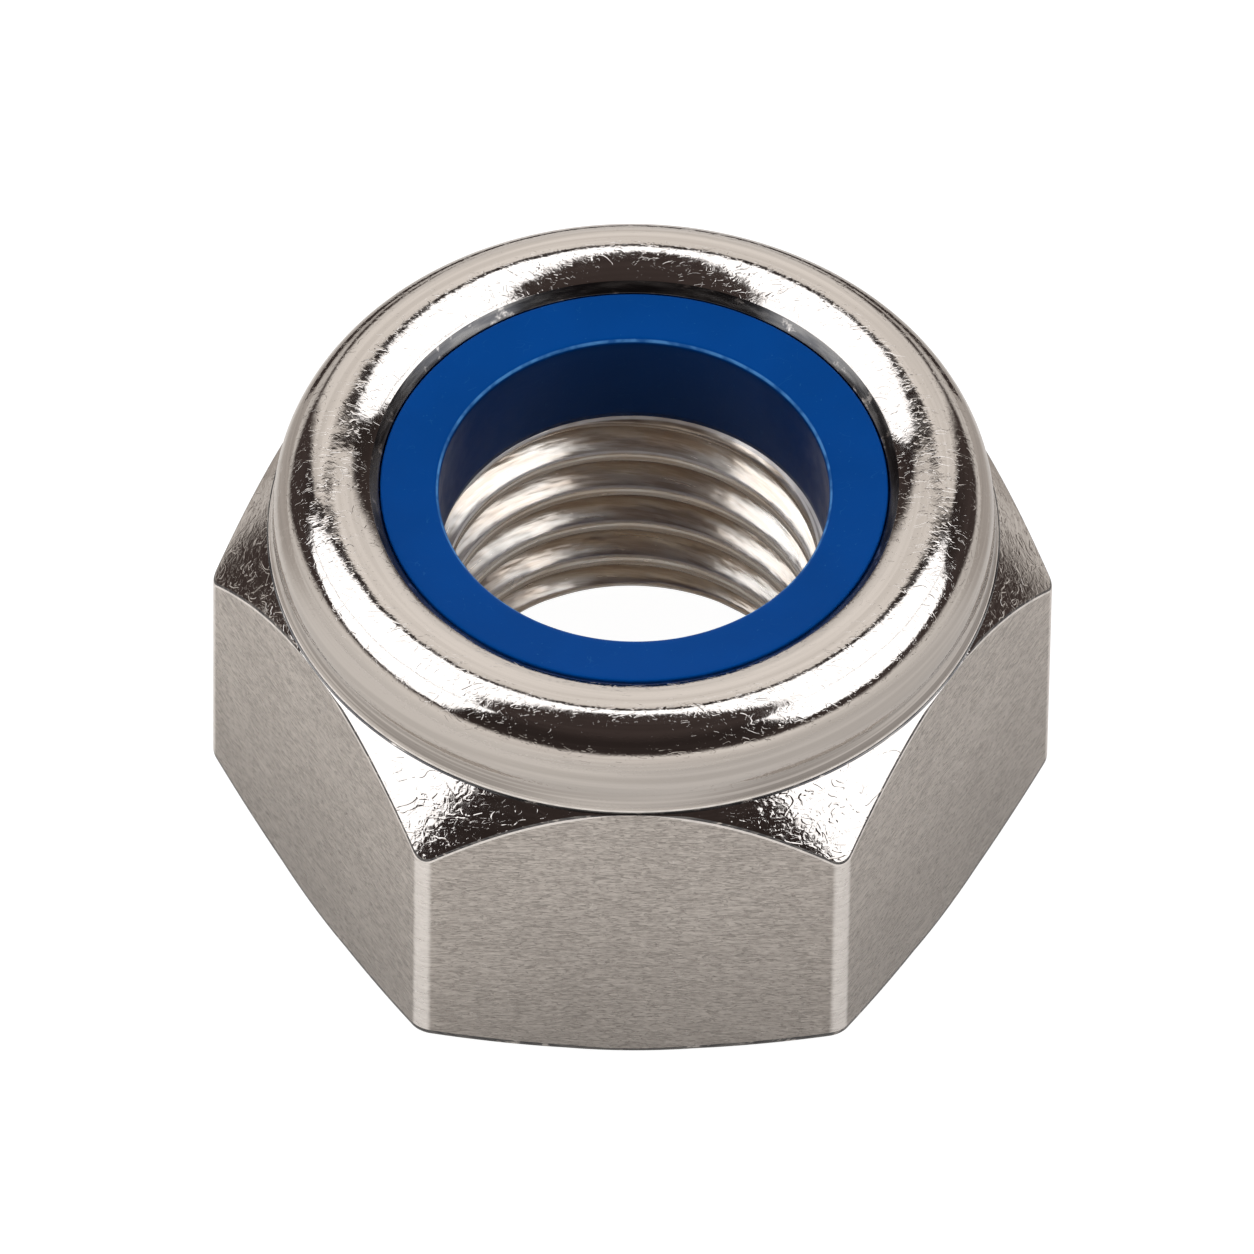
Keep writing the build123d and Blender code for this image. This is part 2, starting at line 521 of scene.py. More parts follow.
# Strength of each mark, mostly as the share of its colour that is mixed in, and how metallic the thread is
CLOUD_SHARE = 0.10
NICK_SHARE = 0.35
WAVE_SHARE = 0.55
FOOT_SHADE_SHARE = 0.3
STREAK_SHARE = 0.6
STREAK_FRONT_SHARE = 0.2
LIP_SPECK_SHARE = 0.7
THREAD_LINE_SHARE = 0.45
# Painted shade in the grooves and under the crests, and a painted highlight on the flank above them
GROOVE_SHADE_SHARE = 0.5
UNDER_CREST_SHADE_SHARE = 0.6
LIT_HIGHLIGHT_SHARE = 0.35
NYLON_SPECK_SHARE = 0.4
NYLON_MARK_SHARE = 0.25
# Share of painted shade on the ring's bore
BORE_SHADE_SHARE = 0.6
CREST_METALLIC = 0.3
THREAD_METALLIC = 0.72

# Where a look changes, in millimetres. A pair is where the change starts and where it is full.
RAGGED = 0.02
CORNER_HIGHLIGHT_START = 0.062
CORNER_HIGHLIGHT_END = 0.006
FLAT_SHADE_TOP = 0.9 * SHOULDER_HEIGHT
STREAKS_FROM = SHOULDER_HEIGHT + 0.9
STREAKS_FULL = SHOULDER_HEIGHT + 0.2
STREAKS_WEAK_X = 0.5
STREAKS_FULL_X = 3.5
SIDE_CORNER_Y = (2.5, 5)
GROOVE_START = 0.32
GROOVE_END = 0.95 * THREAD_DEPTH
CREST_BLUR = 0.02
CREST_HIGHLIGHT_WIDTH = 0.05
LIT_FLANK = 0.36
BORE_TOP_HIGHLIGHT = (0.08, 0.04)
RIM_HIGHLIGHT_START = (0.015, 0.035)
RIM_HIGHLIGHT_END = (0.06, 0.09)
BORE_EDGE = 0.03

# Lean of the polished shoulders' mirror image: beside the collar, at the corners, and at the side corners
INNER_LEAN = radians(22)
OUTER_LEAN = radians(10)
SIDE_LEAN = radians(13)


class Graph:
    """A small helper that adds and links shader nodes."""

    def __init__(self, tree):
        self.tree = tree
        tree.nodes.clear()

    def node(self, kind, values=None, **settings):
        """A new node. values maps an input's name or number to a number, a colour or another output."""
        made = self.tree.nodes.new(kind)
        for key, value in settings.items():
            setattr(made, key, value)
        for key, value in (values or {}).items():
            self.feed(made.inputs[key], value)
        return made

    def feed(self, socket, value):
        """Links an output to the socket, or sets a plain value."""
        if isinstance(value, bpy.types.NodeSocket):
            self.tree.links.new(value, socket)
        else:
            socket.default_value = value

    def maths(self, operation, first, second=0.0):
        """Result of one Math node."""
        return self.node("ShaderNodeMath", {0: first, 1: second}, operation=operation).outputs[0]

    def plus(self, first, second):
        """Sum."""
        return self.maths("ADD", first, second)

    def minus(self, first, second):
        """Difference."""
        return self.maths("SUBTRACT", first, second)

    def times(self, first, second):
        """Product."""
        return self.maths("MULTIPLY", first, second)

    def over(self, first, second):
        """Quotient."""
        return self.maths("DIVIDE", first, second)

    def larger(self, first, second):
        """The larger of two."""
        return self.maths("MAXIMUM", first, second)

    def apart(self, first, second):
        """How far two values are apart."""
        return self.maths("ABSOLUTE", self.minus(first, second))

    def ramp(self, value, low, high, out_low, out_high):
        """Value mapped smoothly from the range low to high to the range out_low to out_high, and held at its
        ends."""
        values = {"Value": value, "From Min": low, "From Max": high, "To Min": out_low, "To Max": out_high}
        made = self.node("ShaderNodeMapRange", values, interpolation_type="SMOOTHSTEP")
        return made.outputs["Result"]

    def mix(self, factor, first, second):
        """Mix of two colours."""
        made = self.node("ShaderNodeMix", data_type="RGBA")
        for name, value in (("Factor_Float", factor), ("A_Color", first), ("B_Color", second)):
            self.feed(next(s for s in made.inputs if s.identifier == name), value)
        return next(s for s in made.outputs if s.identifier == "Result_Color")

    def vector(self, operation, values):
        """Result of one Vector Math node."""
        return self.node("ShaderNodeVectorMath", values, operation=operation).outputs[0]

    def place(self):
        """Position on the object, in metres."""
        return self.node("ShaderNodeTexCoord").outputs["Object"]


def new_material(name):
    """A node material and its graph helper."""
    material = bpy.data.materials.new(name)
    material.use_nodes = True
    return material, Graph(material.node_tree)


def place_vector(graph, along, upright):
    """Position in millimetres, scaled level and upright."""
    scale = (along / MM, along / MM, upright / MM)
    return graph.vector("MULTIPLY", {0: graph.place(), 1: scale})


def axis_distance(graph):
    """Distance from the nut's axis, in metres, and the place's X, Y and Z."""
    xyz = graph.node("ShaderNodeSeparateXYZ", {0: graph.place()}).outputs
    squares = graph.plus(graph.times(xyz[0], xyz[0]), graph.times(xyz[1], xyz[1]))
    return graph.maths("SQRT", squares), xyz


def beyond(graph, radius, inner):
    """Millimetres by which a radius in metres is larger than an inner one in millimetres."""
    return graph.minus(graph.over(radius, MM), inner)


def turned_vector(graph, around, across):
    """Position in millimetres, drawn out round the axis: slow in X and Y, quick along the section."""
    radius, xyz = axis_distance(graph)
    along = graph.minus(graph.times(xyz[2], SECTION_SLANT), radius)
    return graph.node("ShaderNodeCombineXYZ", {
        0: graph.times(xyz[0], around / MM),
        1: graph.times(xyz[1], around / MM),
        2: graph.times(along, across / MM),
    }).outputs[0]


def noise(graph, vector, detail, rough, distortion=0.0):
    """Noise from 0 to 1 at unit scale."""
    values = {"Vector": vector, "Scale": 1.0, "Detail": detail, "Roughness": rough, "Distortion": distortion}
    return graph.node("ShaderNodeTexNoise", values).outputs[0]


def pattern(graph, settings):
    """One of the noise patterns above."""
    along, upright, detail, rough, distortion = settings
    return noise(graph, place_vector(graph, along, upright), detail, rough, distortion)


def turned(graph, settings):
    """One of the turned patterns above."""
    around, across, detail, rough = settings
    return noise(graph, turned_vector(graph, around, across), detail, rough)


def hairlines(graph, scale, width, spread, stretch):
    """Fine curved scratches: thin level lines of a noise, kept only in patches. 1 on a scratch, 0 off it.
    A stretch draws them out along X."""
    place = graph.vector("MULTIPLY", {0: place_vector(graph, scale, scale), 1: (1 / stretch, 1, 1)})
    line = graph.ramp(graph.apart(noise(graph, place, *SCRATCH_FIELD), 0.5), 0, width, 1, 0)
    patch_scale = scale * PATCH_SCALE
    patch = noise(graph, place_vector(graph, patch_scale, patch_scale), *SCRATCH_PATCH)
    return graph.times(line, graph.ramp(patch, PATCH_FROM - spread, PATCH_FULL - spread, 0, 1))


def bump(graph, height, depth, normal=None):
    """Bump of the given depth in millimetres."""
    values = {"Height": height, "Strength": 1.0, "Distance": depth * MM}
    if normal:
        values["Normal"] = normal
    return graph.node("ShaderNodeBump", values).outputs[0]


def finish_shader(graph, values):
    """Principled shader and output."""
    shader = graph.node("ShaderNodeBsdfPrincipled", values)
    graph.node("ShaderNodeOutputMaterial", {"Surface": shader.outputs[0]})


def flats_material():
    """Satin steel with a short level grain, thin dark wavy lines and cloudy patches. It has painted shade
    towards its foot, and a painted highlight along the upright edges."""
    material, graph = new_material("steel_flats")
    radius, xyz = axis_distance(graph)
    grain = pattern(graph, FLAT_GRAIN)
    worms = graph.ramp(graph.apart(pattern(graph, FLAT_WAVES), 0.5), 0.01, 0.05, 1, 0)
    worms = graph.times(worms, graph.ramp(grain, 0.36, 0.52, 0.3, 1))
    streaks = graph.plus(graph.times(grain, 0.5), graph.times(pattern(graph, FINE_GRAIN), 0.5))
    tone = graph.plus(streaks, graph.times(pattern(graph, FLAT_CLOUD), CLOUD_SHARE))
    colour = graph.mix(graph.ramp(tone, 0.40, 0.68, 0, 1), STEEL_DARK, STEEL_LIGHT)
    colour = graph.mix(graph.times(hairlines(graph, *FLAT_NICKS), NICK_SHARE), colour, STEEL_WORN_AND_HIGHLIGHT)
    colour = graph.mix(graph.times(worms, WAVE_SHARE), colour, STEEL_MARKS_AND_SHADE)
    # Painted shade: the flats are darker towards their foot
    foot_shade = graph.ramp(xyz[2], 0, FLAT_SHADE_TOP * MM, FOOT_SHADE_SHARE, 0)
    colour = graph.mix(foot_shade, colour, STEEL_MARKS_AND_SHADE)
    # Painted highlight along the upright edges, in the pale worn-steel colour
    corner = (FLAT_RADIUS - UPRIGHT_EDGE) / cos(pi / 6) + UPRIGHT_EDGE
    reach = graph.plus(graph.over(radius, MM), graph.times(grain, RAGGED))
    painted_highlight = graph.ramp(reach, corner - CORNER_HIGHLIGHT_START, corner - CORNER_HIGHLIGHT_END, 0, 1)
    painted_highlight = graph.times(painted_highlight, graph.ramp(grain, 0.3, 0.6, 0.75, 1))
    finish_shader(graph, {
        "Base Color": graph.mix(painted_highlight, colour, STEEL_WORN_AND_HIGHLIGHT),
        "Metallic": 1.0,
        "Roughness": graph.ramp(streaks, 0.35, 0.7, *FLAT_ROUGH),
        "Normal": bump(graph, worms, -WAVE_DEPTH, bump(graph, streaks, GRAIN_DEPTH)),
    })
    return material


def shoulder_lean(graph, normal):
    """Normal leant up by the angles above: less towards the corners, and evenly at the two side corners."""
    radius, xyz = axis_distance(graph)
    out = beyond(graph, radius, FLAT_RADIUS)
    fall = (tan(INNER_LEAN) - tan(OUTER_LEAN)) / (FLAT_RADIUS / cos(pi / 6) - FLAT_RADIUS)
    slope = graph.minus(tan(INNER_LEAN), graph.times(out, fall / 2))
    aside = graph.ramp(graph.maths("ABSOLUTE", xyz[1]), SIDE_CORNER_Y[0] * MM, SIDE_CORNER_Y[1] * MM, 1, 0)
    slope = graph.plus(slope, graph.times(aside, graph.minus(tan(SIDE_LEAN), slope)))
    return bump(graph, graph.times(out, slope), 1 / cos(SHOULDER_ANGLE), normal)


def collar_streaks(graph, colour):
    """Colour with dark turned streaks low on the collar, weaker at its front and back."""
    xyz = axis_distance(graph)[1]
    low = graph.ramp(xyz[2], STREAKS_FULL * MM, STREAKS_FROM * MM, STREAK_SHARE, 0)
    aside = graph.maths("ABSOLUTE", xyz[0])
    aside = graph.ramp(aside, STREAKS_WEAK_X * MM, STREAKS_FULL_X * MM, STREAK_FRONT_SHARE, 1)
    streaks = graph.ramp(turned(graph, COLLAR_STREAKS), 0.48, 0.62, 0, 1)
    return graph.mix(graph.times(graph.times(low, aside), streaks), colour, STEEL_MARKS_AND_SHADE)


def polish_material(name, marks, crowned):
    """Bright polished steel with soft dents, fine turning lines, small waves and hair-like scratches. A
    crowned one leans its mirror image up; the other has dark streaks low down."""
    material, graph = new_material(name)
    turning = turned(graph, TURNING)
    ripple = pattern(graph, RIPPLE)
    colour = graph.mix(graph.ramp(turning, 0.35, 0.65, 0, 1), POLISH_DARK, POLISH_LIGHT)
    normal = bump(graph, pattern(graph, DENTS), DENT_DEPTH)
    normal = bump(graph, ripple, RIPPLE_DEPTH, normal)
    normal = bump(graph, turning, TURNING_DEPTH, normal)
    normal = bump(graph, hairlines(graph, *marks["coarse"]), marks["coarse depth"], normal)
    normal = bump(graph, hairlines(graph, *marks["thin"]), THIN_DEPTH, normal)
    normal = bump(graph, pattern(graph, marks["squiggles"]), marks["squiggle depth"], normal)
    finish_shader(graph, {
        "Base Color": colour if crowned else collar_streaks(graph, colour),
        "Metallic": 1.0,
        "Roughness": graph.ramp(ripple, 0.3, 0.7, *POLISH_ROUGH),
        "Normal": shoulder_lean(graph, normal) if crowned else normal,
    })
    return material


def edge_highlight_material():
    """Bright steel painted as a highlight on the hexagon's brow edge and on the line over the crease."""
    material, graph = new_material("steel_edge")
    highlight_patches = pattern(graph, EDGE_HIGHLIGHT_PATCHES)
    finish_shader(graph, {
        "Base Color": graph.mix(graph.ramp(highlight_patches, 0.35, 0.6, 0, 1), STEEL_HIGHLIGHT, STEEL_WORN_AND_HIGHLIGHT),
        "Metallic": 1.0,
        "Roughness": graph.ramp(highlight_patches, 0.3, 0.7, *EDGE_ROUGH),
        "Normal": bump(graph, highlight_patches, EDGE_DEPTH),
    })
    return material


def lip_and_shade_material():
    """Gunmetal steel with bright specks, for the bevelled lip, the hidden seat, the crease, the rounded foot
    and the upper half of the brow edge. Its dark colour is painted shade on the lip, in the crease, along the
    foot and along the brow."""
    material, graph = new_material("steel_lip")
    lines = turned(graph, LIP_LINES)
    colour = graph.mix(graph.ramp(lines, 0.4, 0.62, 0, 1), GUNMETAL_DARK, GUNMETAL_LIGHT)
    specks = graph.ramp(turned(graph, LIP_SPECKS), 0.58, 0.70, 0, LIP_SPECK_SHARE)
    finish_shader(graph, {
        "Base Color": graph.mix(specks, colour, STEEL_LIGHT),
        "Metallic": 1.0,
        "Roughness": graph.ramp(lines, 0.3, 0.7, *LIP_ROUGH),
        "Normal": bump(graph, lines, LIP_DEPTH),
    })
    return material


def thread_climb(graph, height):
    """Millimetres above the middle of the nearest crest, from half a pitch below to half a pitch above."""
    xyz = axis_distance(graph)[1]
    # CREST_AT_BACK is a height a quarter of a turn past X, so a crest's middle has a phase of -0.25
    turn = graph.over(graph.maths("ARCTAN2", xyz[1], xyz[0]), 2 * pi)
    phase = graph.minus(graph.over(graph.minus(height, CREST_AT_BACK), PITCH), turn)
    return graph.times(graph.minus(graph.maths("FRACT", graph.plus(phase, 0.75)), 0.5), PITCH)


def thread_material():
    """Cut steel of the thread: warm and streaked along the turn, with painted shade in the grooves and under
    the crests, and painted highlights along the crests' upper edges, round the top of the bore and on the
    flank above."""
    material, graph = new_material("steel_thread")
    radius, xyz = axis_distance(graph)
    lines = turned(graph, THREAD_LINES)
    patches = turned(graph, THREAD_PATCHES)
    depth = beyond(graph, radius, MINOR_RADIUS)
    height = graph.over(xyz[2], MM)
    climb = thread_climb(graph, height)
    brow = CREST_FLAT / 2

    colour = graph.mix(graph.ramp(patches, 0.35, 0.65, 0, 1), THREAD_WARM, THREAD_PALE)
    colour = graph.mix(graph.ramp(lines, 0.38, 0.56, THREAD_LINE_SHARE, 0), colour, THREAD_LINE)
    # Painted shade, darker deep in the grooves
    groove = graph.ramp(depth, GROOVE_START, GROOVE_END, 0, GROOVE_SHADE_SHARE)
    colour = graph.mix(groove, colour, THREAD_SHADE_BROWN)
    # Painted shade just under each crest
    under = graph.ramp(climb, -brow - CREST_BLUR, -brow, 0, 1)
    under = graph.times(under, graph.ramp(climb, -CREST_BLUR, 2 * CREST_BLUR, 1, 0))
    colour = graph.mix(graph.times(under, UNDER_CREST_SHADE_SHARE), colour, THREAD_SHADE_BROWN)

    # Painted highlight along each crest's upper edge and round the top of the bore
    edge = graph.ramp(climb, brow - CREST_HIGHLIGHT_WIDTH, brow - CREST_BLUR, 0, 1)
    edge = graph.times(edge, graph.ramp(climb, brow, brow + 2 * CREST_BLUR, 1, 0))
    top = graph.ramp(height, SEAT_HEIGHT - BORE_TOP_HIGHLIGHT[0], SEAT_HEIGHT - BORE_TOP_HIGHLIGHT[1], 0, 1)
    edge = graph.times(graph.larger(edge, top), graph.ramp(patches, 0.3, 0.5, 0.6, 1))
    # Painted highlight on the flank above each crest, paler and less metallic
    lit = graph.ramp(climb, brow - CREST_BLUR, brow + CREST_BLUR, 0, LIT_HIGHLIGHT_SHARE)
    lit = graph.times(lit, graph.ramp(climb, brow, brow + LIT_FLANK, 1, 0))
    edge = graph.larger(edge, graph.times(lit, graph.ramp(lines, 0.38, 0.6, 0.45, 1)))
    finish_shader(graph, {
        "Base Color": graph.mix(edge, colour, THREAD_HIGHLIGHT),
        "Metallic": graph.ramp(edge, 0, 1, THREAD_METALLIC, CREST_METALLIC),
        "Roughness": graph.ramp(lines, 0.3, 0.7, *THREAD_ROUGH),
        "Normal": bump(graph, patches, THREAD_DENT_DEPTH, bump(graph, lines, THREAD_LINE_DEPTH)),
    })
    return material


def face_material():
    """Turned bearing face with circular tool lines."""
    material, graph = new_material("steel_face")
    lines = turned(graph, FACE_LINES)
    finish_shader(graph, {
        "Base Color": graph.mix(graph.ramp(lines, 0.35, 0.65, 0, 1), STEEL_DARK, STEEL_LIGHT),
        "Metallic": 1.0,
        "Roughness": graph.ramp(lines, 0.3, 0.7, *FACE_ROUGH),
        "Normal": bump(graph, lines, FACE_DEPTH),
    })
    return material


def nylon_material():
    """Saturated blue nylon with a soft gloss, faint scratches, a painted highlight on the inner rim and
    painted shade on the bore.
    """
    material, graph = new_material("nylon_blue")
    radius = axis_distance(graph)[0]
    inward = beyond(graph, radius, RING_BORE)
    sheen = pattern(graph, NYLON_SHEEN)
    specks = pattern(graph, NYLON_SPECKS)
    colour = graph.mix(graph.ramp(pattern(graph, NYLON_CLOUD), 0.3, 0.7, 0, 1), NYLON_DEEP, NYLON_CLEAR)
    colour = graph.mix(graph.ramp(specks, 0.74, 0.80, 0, NYLON_SPECK_SHARE), colour, NYLON_WORN)
    marks = hairlines(graph, *NYLON_MARKS)
    colour = graph.mix(graph.times(marks, NYLON_MARK_SHARE), colour, NYLON_WORN)
    # Painted shade on the bore's wall
    colour = graph.mix(graph.ramp(inward, 0.0, BORE_EDGE, BORE_SHADE_SHARE, 0), colour, NYLON_BORE_SHADE)
    # Painted highlight along the inner rim
    rim = graph.times(graph.ramp(inward, *RIM_HIGHLIGHT_START, 0, 1), graph.ramp(inward, *RIM_HIGHLIGHT_END, 1, 0))
    painted_highlight = graph.times(rim, graph.ramp(sheen, 0.35, 0.6, 0.25, 0.9))
    finish_shader(graph, {
        "Base Color": graph.mix(painted_highlight, colour, NYLON_RIM_HIGHLIGHT),
        "Roughness": graph.ramp(sheen, 0.3, 0.7, *NYLON_ROUGH),
        "IOR": NYLON_IOR,
        "Specular IOR Level": NYLON_SPECULAR,
        "Specular Tint": NYLON_GLARE,
        "Normal": bump(graph, specks, SPECK_DEPTH, bump(graph, sheen, SHEEN_DEPTH)),
    })
    return material


# Studio. Directions are degrees of azimuth from the camera's side, right positive, and degrees above the
# horizon. Curves are lists of such pairs.
SOFTBOX = 2.0
SOFTBOX_COLOUR = (1.0, 1.005, 1.03, 1)
BACKDROP_COLOUR = (1.0, 0.925, 0.86, 1)
FLAG_COLOUR = (0.052, 0.039, 0.036, 1)
BACKDROP_SHARE = 0.3
BOX_EDGE = 1.0
FLAG_EDGE = 4.0
FRONT_LEFT = -57
FRONT_RIGHT = 51
BOX_FOOT = (
    (-180, 55), (-160, 54), (-150, 50), (-140, 44), (-130, 37), (-118, 29), (-100, 26), (-85, 26), (-70, 28),
    (-60, 30), (60, 31), (75, 27), (90, 26), (105, 27), (113, 32), (119, 39), (130, 43), (140, 47), (150, 51),
    (165, 55), (180, 55),
)
BOX_TOP = (
    (-180, 63), (-165, 70), (-150, 74), (-120, 75), (-95, 72), (-80, 68), (-65, 62), (58, 60), (70, 65),
    (85, 70), (105, 74), (130, 76), (150, 75), (165, 71), (180, 63),
)
SEAM = ((-180, 15), (-125, 34), (-62, 62), (0, 85), (70, 68), (118, 44), (180, 15))
FLAG_FOOT = (
    (-180, -30), (-160, -5), (-150, 8), (-140, 5), (-132, 1), (-125, 1), (-115, 10), (-105, 16), (-90, 20),
    (-75, 22), (-60, 24), (-30, 27), (0, 27.5), (30, 25.5), (45, 21.5), (60, 17.5), (75, 15), (90, 13.5),
    (105, 11), (115, 8), (123, 4), (132, 4), (140, 7), (150, 8), (160, -5), (180, -30),
)
PANEL_SIDE = 147
PANEL_FOOT = ((-180, -15), (-170, -4), (-160, 6), (-150, 15), (150, 15), (160, 6), (170, -4), (180, -15))
PANEL_GAP = 5
CURVE_LOW = -40
CURVE_SPAN = 130

# Brightness ramps: from one number of degrees to another, and from one level to another
SEAM_LEVEL = (0.3, 1.2, 0.4 * SOFTBOX, SOFTBOX)
BACKDROP_RISE = (0, 25, 0.64, 0.9)
BACKDROP_BEHIND = (150, 175, 1.0, 1.2)
FLAG_DARKEST = 47
FLAG_LEVEL = (6, 26, 0.7, 1.2)

# Floor and card. Lengths are in millimetres; the brown part starts and ends at angles in radians.
FLOOR_SIZE = 260
FLOOR_DROP = 0.01
# Floor paint lighter on the left and darker on the right: painted light and shade that the flats mirror
FLOOR_LEFT_LIT = (0.73, 0.685, 0.63, 1)
FLOOR_RIGHT_SHADED = (0.59, 0.55, 0.51, 1)
FLOOR_BLEND = 12
FLOOR_BROWN = (0.22, 0.16, 0.11, 1)
BROWN_START = (1.6, 2.0)
BROWN_END = (2.7, 3.0)
BROWN_FROM = 18
BROWN_FULL = 26
BROWN_SHARE = 0.9
FLOOR_GLOW = 0.97
FLOOR_VEIL = (0.20, 0.20, 0.20, 1)
WHITE = (1, 1, 1, 1)
BLACK = (0, 0, 0, 1)
CARD_RADIUS = 33
CARD_START = radians(140)
CARD_STEPS = 24
CARD_END_HEIGHT = 7
CARD_MIDDLE_HEIGHT = 3.5


def studio_curve(graph, side, points):
    """Straight-line curve through (azimuth, height) points, in degrees."""
    share = graph.plus(graph.over(side, 360), 0.5)
    made = graph.node("ShaderNodeFloatCurve", {"Value": share})
    curve = made.mapping.curves[0]
    for i, (azimuth, height) in enumerate(points):
        place = (azimuth / 360 + 0.5, (height - CURVE_LOW) / CURVE_SPAN)
        if i < 2:
            curve.points[i].location = place
        else:
            curve.points.new(*place)
    for point in curve.points:
        point.handle_type = "VECTOR"
    made.mapping.update()
    return graph.plus(graph.times(made.outputs[0], CURVE_SPAN), CURVE_LOW)


def above(graph, value, limit, softness):
    """1 where value is over the limit, 0 under it, with a soft edge."""
    return graph.ramp(graph.minus(value, limit), -softness, softness, 0, 1)


def azimuth_of(graph, xyz):
    """Direction round the axis in radians, 0 on the camera's side and positive to the right."""
    return graph.maths("ARCTAN2", xyz[0], graph.times(xyz[1], -1))


def white_share(graph, mirrored):
    """Share of plain white: all of it for the camera and through glass, and the mirrored share in mirrors."""
    path = graph.node("ShaderNodeLightPath").outputs
    seen = graph.larger(path["Is Camera Ray"], path["Is Transmission Ray"])
    return graph.larger(seen, graph.times(path["Is Glossy Ray"], mirrored))


def studio_world():
    """Surroundings that the metal mirrors: softboxes left and right that meet behind, a dark flag in front
    that runs on under and over them, a pale backdrop below and a pale panel low behind."""
    world = bpy.data.worlds.new("studio")
    bpy.context.scene.world = world
    world.use_nodes = True
    graph = Graph(world.node_tree)
    direction = graph.node("ShaderNodeTexCoord").outputs["Generated"]
    xyz = graph.node("ShaderNodeSeparateXYZ", {0: direction}).outputs
    height = graph.maths("DEGREES", graph.maths("ARCSINE", xyz[2]))
    side = graph.maths("DEGREES", azimuth_of(graph, xyz))
    away = graph.maths("ABSOLUTE", side)

    left = graph.minus(1, above(graph, side, FRONT_LEFT, BOX_EDGE))
    beside = graph.larger(left, above(graph, side, FRONT_RIGHT, BOX_EDGE))
    foot = studio_curve(graph, side, BOX_FOOT)
    under_top = graph.minus(1, above(graph, height, studio_curve(graph, side, BOX_TOP), BOX_EDGE))
    box = graph.times(graph.times(beside, under_top), above(graph, height, foot, BOX_EDGE))

    over_foot = above(graph, height, studio_curve(graph, side, FLAG_FOOT), FLAG_EDGE)
    panel = above(graph, height, studio_curve(graph, side, PANEL_FOOT), FLAG_EDGE)
    panel = graph.times(above(graph, away, PANEL_SIDE, FLAG_EDGE), panel)
    near_foot = above(graph, height, graph.minus(foot, PANEL_GAP), BOX_EDGE)
    panel = graph.times(panel, graph.minus(1, near_foot))
    flags = graph.times(over_foot, graph.minus(1, panel))

    level = graph.times(graph.ramp(height, *BACKDROP_RISE), graph.ramp(away, *BACKDROP_BEHIND))
    backdrop = graph.mix(level, BLACK, BACKDROP_COLOUR)
    flag_level = graph.ramp(graph.apart(height, FLAG_DARKEST), *FLAG_LEVEL)
    flag = graph.vector("SCALE", {0: FLAG_COLOUR[:3], "Scale": flag_level})
    box_level = graph.ramp(graph.apart(height, studio_curve(graph, side, SEAM)), *SEAM_LEVEL)
    soft_light = graph.vector("SCALE", {0: SOFTBOX_COLOUR[:3], "Scale": box_level})
    colour = graph.mix(box, graph.mix(flags, backdrop, flag), soft_light)

    lit = graph.node("ShaderNodeBackground", {"Color": colour, "Strength": 1.0})
    white = graph.node("ShaderNodeBackground", {"Color": WHITE, "Strength": 1.0})
    open_part = graph.minus(1, graph.larger(flags, box))
    plain = white_share(graph, graph.times(open_part, BACKDROP_SHARE))
    both = graph.node("ShaderNodeMixShader", {0: plain, 1: lit.outputs[0], 2: white.outputs[0]})
    graph.node("ShaderNodeOutputWorld", {"Surface": both.outputs[0]})


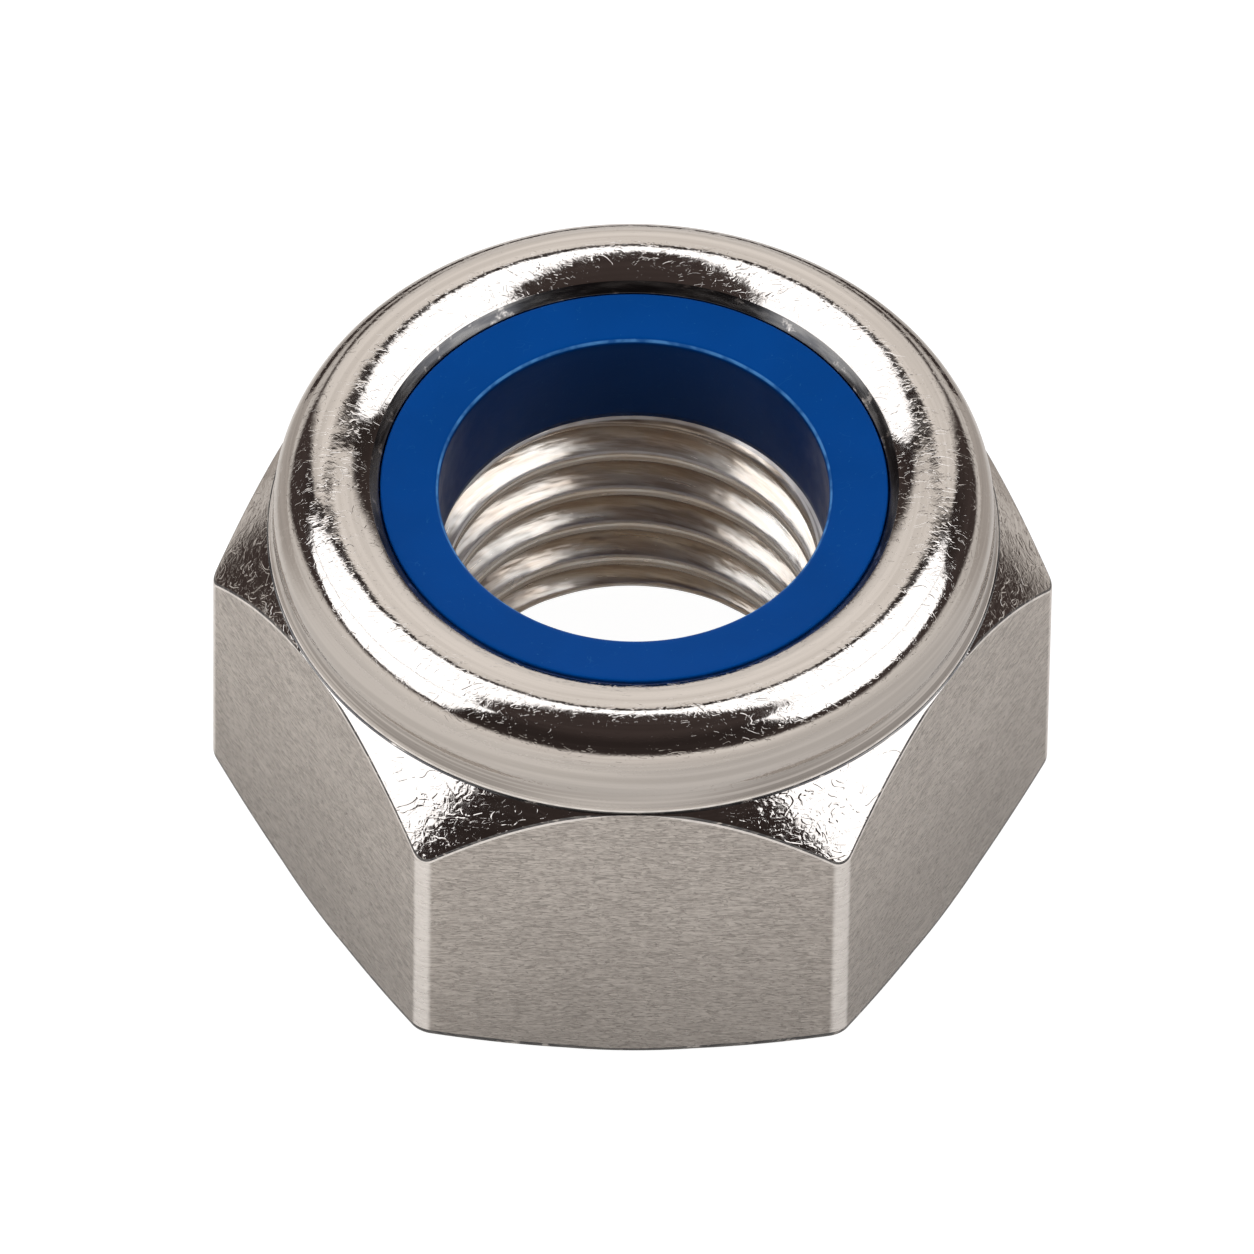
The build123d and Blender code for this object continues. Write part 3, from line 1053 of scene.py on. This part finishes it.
def studio_floor():
    """Pale floor that reads as white to the camera and keeps a light shadow. Its paint is lighter on the left
    and darker on the right, painted light and shade that the flats mirror. To the sides behind the nut the
    collar mirrors it browner."""
    bpy.ops.mesh.primitive_plane_add(size=FLOOR_SIZE * MM)
    ground = bpy.context.object
    ground.name = "studio_floor"
    ground.location.z = -FLOOR_DROP * MM
    material, graph = new_material("floor_white")
    distance, xyz = axis_distance(graph)
    side = graph.maths("ABSOLUTE", azimuth_of(graph, xyz))
    behind = graph.times(graph.ramp(side, *BROWN_START, 0, 1), graph.ramp(side, *BROWN_END, 1, 0))
    brown = graph.times(behind, graph.ramp(distance, BROWN_FROM * MM, BROWN_FULL * MM, 0, BROWN_SHARE))
    # Painted light on the left of the floor and painted shade on its right
    rightward = graph.ramp(xyz[0], -FLOOR_BLEND * MM, FLOOR_BLEND * MM, 0, 1)
    pale = graph.mix(rightward, FLOOR_LEFT_LIT, FLOOR_RIGHT_SHADED)
    paint = graph.node("ShaderNodeBsdfDiffuse", {"Color": graph.mix(brown, pale, FLOOR_BROWN)})
    veil = graph.node("ShaderNodeBsdfDiffuse", {"Color": FLOOR_VEIL})
    glow = graph.node("ShaderNodeEmission", {"Color": WHITE, "Strength": FLOOR_GLOW})
    shown = graph.node("ShaderNodeAddShader", {0: veil.outputs[0], 1: glow.outputs[0]})
    plain = white_share(graph, BACKDROP_SHARE)
    both = graph.node("ShaderNodeMixShader", {0: plain, 1: paint.outputs[0], 2: shown.outputs[0]})
    graph.node("ShaderNodeOutputMaterial", {"Surface": both.outputs[0]})
    ground.data.materials.append(material)


def flag_card():
    """Low curved black card behind the nut, which only mirrors; it is lowest in its middle."""
    vertices = []
    for i in range(CARD_STEPS + 1):
        at = CARD_START + 2 * (pi - CARD_START) * i / CARD_STEPS
        rise = (CARD_END_HEIGHT - CARD_MIDDLE_HEIGHT) * abs(2 * i / CARD_STEPS - 1)
        x, y = CARD_RADIUS * sin(at) * MM, -CARD_RADIUS * cos(at) * MM
        vertices += [(x, y, 0), (x, y, (CARD_MIDDLE_HEIGHT + rise) * MM)]
    faces = [(2 * i, 2 * i + 2, 2 * i + 3, 2 * i + 1) for i in range(CARD_STEPS)]
    mesh = bpy.data.meshes.new("flag_back")
    mesh.from_pydata(vertices, [], faces)
    material, graph = new_material("flag_black")
    card = graph.node("ShaderNodeEmission", {"Color": FLAG_COLOUR, "Strength": 1.0})
    graph.node("ShaderNodeOutputMaterial", {"Surface": card.outputs[0]})
    mesh.materials.append(material)
    piece = bpy.data.objects.new("flag_back", mesh)
    piece.visible_camera = False
    piece.visible_diffuse = False
    piece.visible_shadow = False
    bpy.context.scene.collection.objects.link(piece)


make_camera()
studio_world()
studio_floor()
flag_card()

nut = make_nut({
    "face": face_material(),
    "polish": polish_material("steel_polish", COLLAR_MARKS, False),
    "shoulder": polish_material("steel_shoulder", SHOULDER_MARKS, True),
    "edge": edge_highlight_material(),
    "flats": flats_material(),
    "lip": lip_and_shade_material(),
    "thread": thread_material(),
})
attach(nut, "root")
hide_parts("nut_body")

ring = make_ring(nylon_material())
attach(ring, "root")
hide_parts("nylon_ring")

bpy.context.scene.view_settings.view_transform = "Standard"
